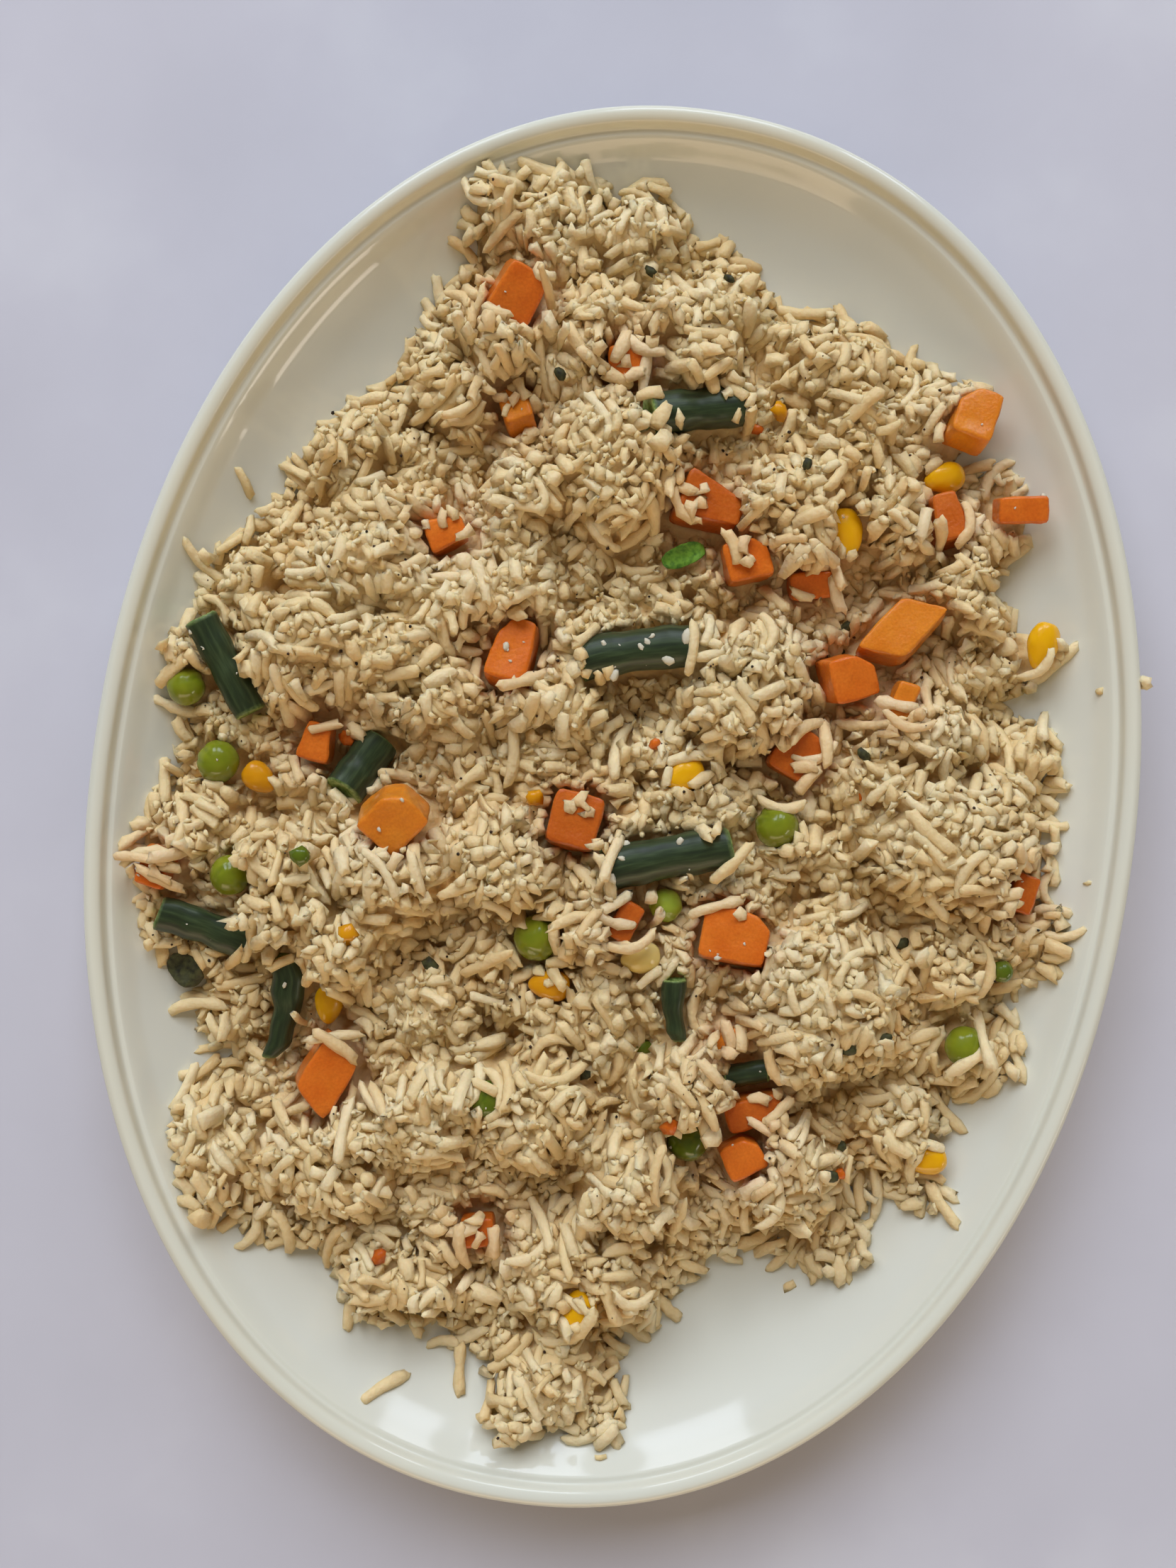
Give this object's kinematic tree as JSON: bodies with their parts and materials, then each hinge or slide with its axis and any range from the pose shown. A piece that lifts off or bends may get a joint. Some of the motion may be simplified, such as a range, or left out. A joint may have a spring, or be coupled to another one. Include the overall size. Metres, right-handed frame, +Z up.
{
  "type": "plate of vegetable rice",
  "caption": "Long oval platter with a low rim, heaped with loose cooked rice and diced carrot, sweetcorn, peas, cut green beans and herb leaves.",
  "frame": {"origin": "centre of the platter's oval, at the height of the foot ring's underside", "axes": "+Z up, +Y along the platter's long axis, +X along its short axis"},
  "size_m": [0.208, 0.28, 0.0346],
  "materials": {
    "plate": "smooth off-white glaze",
    "rice": "moist cooked grains, beige with whiter and browner ones",
    "carrot": "moist diced orange",
    "carrot_amber": "moist diced amber orange",
    "carrot_deep": "moist diced reddish orange",
    "corn": "glossy yellow skin",
    "corn_pale": "glossy pale yellow skin",
    "corn_deep": "glossy deep yellow skin",
    "pea": "glossy green skin with wrinkles",
    "pea_dark": "glossy dark green skin",
    "pea_yellow": "glossy yellow-green skin",
    "green_bean": "dark blue-green skin with a dull bloom",
    "leaf_dark": "dark wilted leaf",
    "leaf_bright": "bright green curled leaf"
  },
  "bodies": {
    "root": {"bean_01": "green_bean", "bean_02": "green_bean", "bean_03": "green_bean", "bean_04": "green_bean", "bean_05": "green_bean", "bean_06": "green_bean", "bean_07": "green_bean", "bean_08": "green_bean", "bean_09": "green_bean", "carrot_01": "carrot", "carrot_02": "carrot", "carrot_03": "carrot_amber", "carrot_04": "carrot_amber", "carrot_05": "carrot_deep", "carrot_06": "carrot", "carrot_07": "carrot", "carrot_08": "carrot", "carrot_09": "carrot_deep", "carrot_10": "carrot", "carrot_11": "carrot", "carrot_12": "carrot_amber", "carrot_13": "carrot", "carrot_14": "carrot_amber", "carrot_15": "carrot", "carrot_16": "carrot_amber", "carrot_17": "carrot_deep", "carrot_18": "carrot_deep", "carrot_19": "carrot", "carrot_20": "carrot_deep", "carrot_21": "carrot", "carrot_22": "carrot_deep", "carrot_23": "carrot", "carrot_24": "carrot_deep", "carrot_25": "carrot", "carrot_26": "carrot_deep", "carrot_27": "carrot_amber", "corn_01": "corn", "corn_02": "corn", "corn_03": "corn", "corn_04": "corn", "corn_05": "corn_pale", "corn_06": "corn_deep", "corn_07": "corn", "corn_08": "corn_deep", "corn_09": "corn", "corn_10": "corn", "leaf_01": "leaf_dark", "leaf_02": "leaf_bright", "pea_01": "pea", "pea_02": "pea", "pea_03": "pea", "pea_04": "pea", "pea_05": "pea_dark", "pea_06": "pea_yellow", "pea_07": "pea", "pea_08": "pea_dark", "pea_09": "pea", "pea_10": "pea_dark", "plate": "plate", "rice_heap": "rice"}
  },
  "joints": []
}
